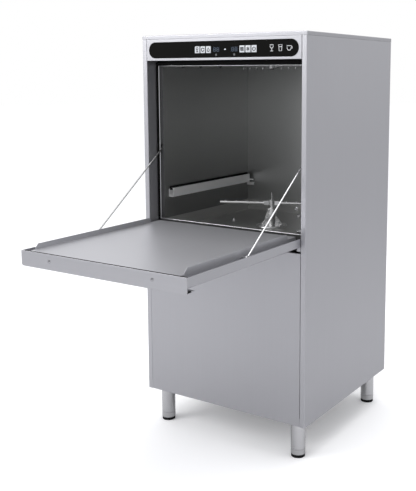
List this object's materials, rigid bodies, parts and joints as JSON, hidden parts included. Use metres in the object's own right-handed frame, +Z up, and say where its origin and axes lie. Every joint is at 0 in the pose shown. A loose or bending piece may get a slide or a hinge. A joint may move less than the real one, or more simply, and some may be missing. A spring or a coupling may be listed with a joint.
{
  "type": "glass washer machine",
  "caption": "Tall front-loading glass washer on adjustable legs, with a drop-down door on stay rods, rotating spray arms, rack rails and a key panel.",
  "frame": {"origin": "on the floor, in the middle of the box round the machine with its door open; the cabinet front face is at y = -0.025", "axes": "+X to the right seen from the front, +Y towards the back of the cabinet, +Z up; the door opens towards -Y"},
  "size_m": [0.6, 1.12, 1.28],
  "materials": {
    "brushed_casing": "brushed stainless steel with fine vertical grain",
    "door_inner": "satin stainless steel",
    "leg_steel": "turned satin stainless tube",
    "chamber_steel": "satin stainless sheet, dark inside the chamber",
    "plain_steel": "mill finish stainless sheet",
    "arm_steel": "polished stainless tube",
    "bright_steel": "bright polished steel",
    "pipe_steel": "satin stainless",
    "rubber": "matt black rubber",
    "black_plastic": "matt black moulded plastic",
    "overlay_black": "semi-gloss black printed film",
    "display_glass": "dark blue display window",
    "key_white": "white key caps with dark symbols",
    "circuit_board": "green circuit board",
    "motor_metal": "cast motor housing",
    "box_grey": "grey enclosure",
    "white_plastic": "off-white moulded plastic",
    "foot_metal": "stainless cup on a dark pad"
  },
  "bodies": {
    "cabinet": {"base_pan": "plain_steel", "leg_tubes": "leg_steel", "side_panel_left": "brushed_casing", "side_panel_right": "brushed_casing", "rear_panel": "brushed_casing", "top_panel": "brushed_casing", "control_fascia": "brushed_casing", "front_lower_panel": "brushed_casing", "chamber_wall_left": "chamber_steel", "chamber_wall_right": "chamber_steel", "chamber_wall_back": "chamber_steel", "chamber_ceiling": "chamber_steel", "tank_basin": "chamber_steel", "chamber_front_frame": "chamber_steel", "door_gasket": "rubber", "rack_rail_left": "plain_steel", "rack_rail_right": "plain_steel", "hinge_brackets": "black_plastic", "rod_guides": "plain_steel", "control_overlay": "overlay_black", "display_windows": "display_glass", "control_board": "circuit_board", "lower_arm_support": "arm_steel", "upper_arm_support": "arm_steel", "riser_pipe": "pipe_steel", "pump_hoses": "rubber", "wash_pump_casing": "black_plastic", "wash_pump_motor": "motor_metal", "rinse_boiler": "pipe_steel", "tank_heater": "pipe_steel", "tank_filter": "plain_steel", "water_inlet_valve": "white_plastic", "dosing_pumps": "black_plastic", "electrical_box": "box_grey", "drain_pipe": "white_plastic", "cable_gland": "black_plastic", "panel_screws": "bright_steel"},
    "door": {"door_outer_skin": "brushed_casing", "door_inner_panel": "door_inner", "door_fasteners": "bright_steel"},
    "rod_left": {"stay_rod_left": "bright_steel", "rod_spring_left": "bright_steel"},
    "rod_right": {"stay_rod_right": "bright_steel", "rod_spring_right": "bright_steel"},
    "lower_wash_arm": {"lower_wash_arm": "arm_steel"},
    "lower_rinse_arm": {"lower_rinse_arm": "arm_steel"},
    "upper_wash_arm": {"upper_wash_arm": "arm_steel"},
    "upper_rinse_arm": {"upper_rinse_arm": "arm_steel"},
    "pump_rotor": {"pump_rotor": "motor_metal"},
    "overflow_standpipe": {"overflow_standpipe": "bright_steel"},
    "key_1": {"key_1": "key_white"},
    "key_2": {"key_2": "key_white"},
    "key_3": {"key_3": "key_white"},
    "key_4": {"key_4": "key_white"},
    "key_5": {"key_5": "key_white"},
    "key_6": {"key_6": "key_white"},
    "foot_front_left": {"foot_front_left": "foot_metal"},
    "foot_front_right": {"foot_front_right": "foot_metal"},
    "foot_back_left": {"foot_back_left": "foot_metal"},
    "foot_back_right": {"foot_back_right": "foot_metal"}
  },
  "joints": [
    {"name": "door_hinge", "type": "hinge", "parent": "cabinet", "child": "door", "pos_m": [0, -0.015, 0.655], "axis": [-1, 0, 0], "range_deg": [0, 90]},
    {"name": "rod_left_pivot", "type": "hinge", "parent": "door", "child": "rod_left", "pos_m": [-0.272, -0.29, 0.681], "axis": [-1, 0, 0], "range_deg": [-45, 0]},
    {"name": "rod_right_pivot", "type": "hinge", "parent": "door", "child": "rod_right", "pos_m": [0.272, -0.29, 0.681], "axis": [-1, 0, 0], "range_deg": [-45, 0]},
    {"name": "lower_wash_arm_spin", "type": "hinge", "parent": "cabinet", "child": "lower_wash_arm", "pos_m": [0, 0.2755, 0.702], "axis": [0, 0, 1], "continuous": true},
    {"name": "lower_rinse_arm_spin", "type": "hinge", "parent": "cabinet", "child": "lower_rinse_arm", "pos_m": [0, 0.2755, 0.728], "axis": [0, 0, 1], "continuous": true},
    {"name": "upper_wash_arm_spin", "type": "hinge", "parent": "cabinet", "child": "upper_wash_arm", "pos_m": [0, 0.2755, 1.205], "axis": [0, 0, 1], "continuous": true},
    {"name": "upper_rinse_arm_spin", "type": "hinge", "parent": "cabinet", "child": "upper_rinse_arm", "pos_m": [0, 0.2755, 1.187], "axis": [0, 0, 1], "continuous": true},
    {"name": "pump_rotor_spin", "type": "hinge", "parent": "cabinet", "child": "pump_rotor", "pos_m": [0.165, 0.275, 0.31], "axis": [0, 1, 0], "continuous": true},
    {"name": "standpipe_lift", "type": "slide", "parent": "cabinet", "child": "overflow_standpipe", "axis": [0, 0, 1], "range_m": [0, 0.045]},
    {"name": "key_1_press", "type": "slide", "parent": "cabinet", "child": "key_1", "axis": [0, 1, 0], "range_m": [0, 0.0008], "stiffness_N_per_m": 600, "springref_m": -0.001},
    {"name": "key_2_press", "type": "slide", "parent": "cabinet", "child": "key_2", "axis": [0, 1, 0], "range_m": [0, 0.0008], "stiffness_N_per_m": 600, "springref_m": -0.001},
    {"name": "key_3_press", "type": "slide", "parent": "cabinet", "child": "key_3", "axis": [0, 1, 0], "range_m": [0, 0.0008], "stiffness_N_per_m": 600, "springref_m": -0.001},
    {"name": "key_4_press", "type": "slide", "parent": "cabinet", "child": "key_4", "axis": [0, 1, 0], "range_m": [0, 0.0008], "stiffness_N_per_m": 600, "springref_m": -0.001},
    {"name": "key_5_press", "type": "slide", "parent": "cabinet", "child": "key_5", "axis": [0, 1, 0], "range_m": [0, 0.0008], "stiffness_N_per_m": 600, "springref_m": -0.001},
    {"name": "key_6_press", "type": "slide", "parent": "cabinet", "child": "key_6", "axis": [0, 1, 0], "range_m": [0, 0.0008], "stiffness_N_per_m": 600, "springref_m": -0.001},
    {"name": "foot_front_left_screw", "type": "slide", "parent": "cabinet", "child": "foot_front_left", "axis": [0, 0, -1], "range_m": [0, 0.03]},
    {"name": "foot_front_right_screw", "type": "slide", "parent": "cabinet", "child": "foot_front_right", "axis": [0, 0, -1], "range_m": [0, 0.03]},
    {"name": "foot_back_left_screw", "type": "slide", "parent": "cabinet", "child": "foot_back_left", "axis": [0, 0, -1], "range_m": [0, 0.03]},
    {"name": "foot_back_right_screw", "type": "slide", "parent": "cabinet", "child": "foot_back_right", "axis": [0, 0, -1], "range_m": [0, 0.03]}
  ],
  "couplings": [
    {"joint": "rod_left_pivot", "follows": "door_hinge", "ratio": -0.5},
    {"joint": "rod_right_pivot", "follows": "door_hinge", "ratio": -0.5}
  ]
}
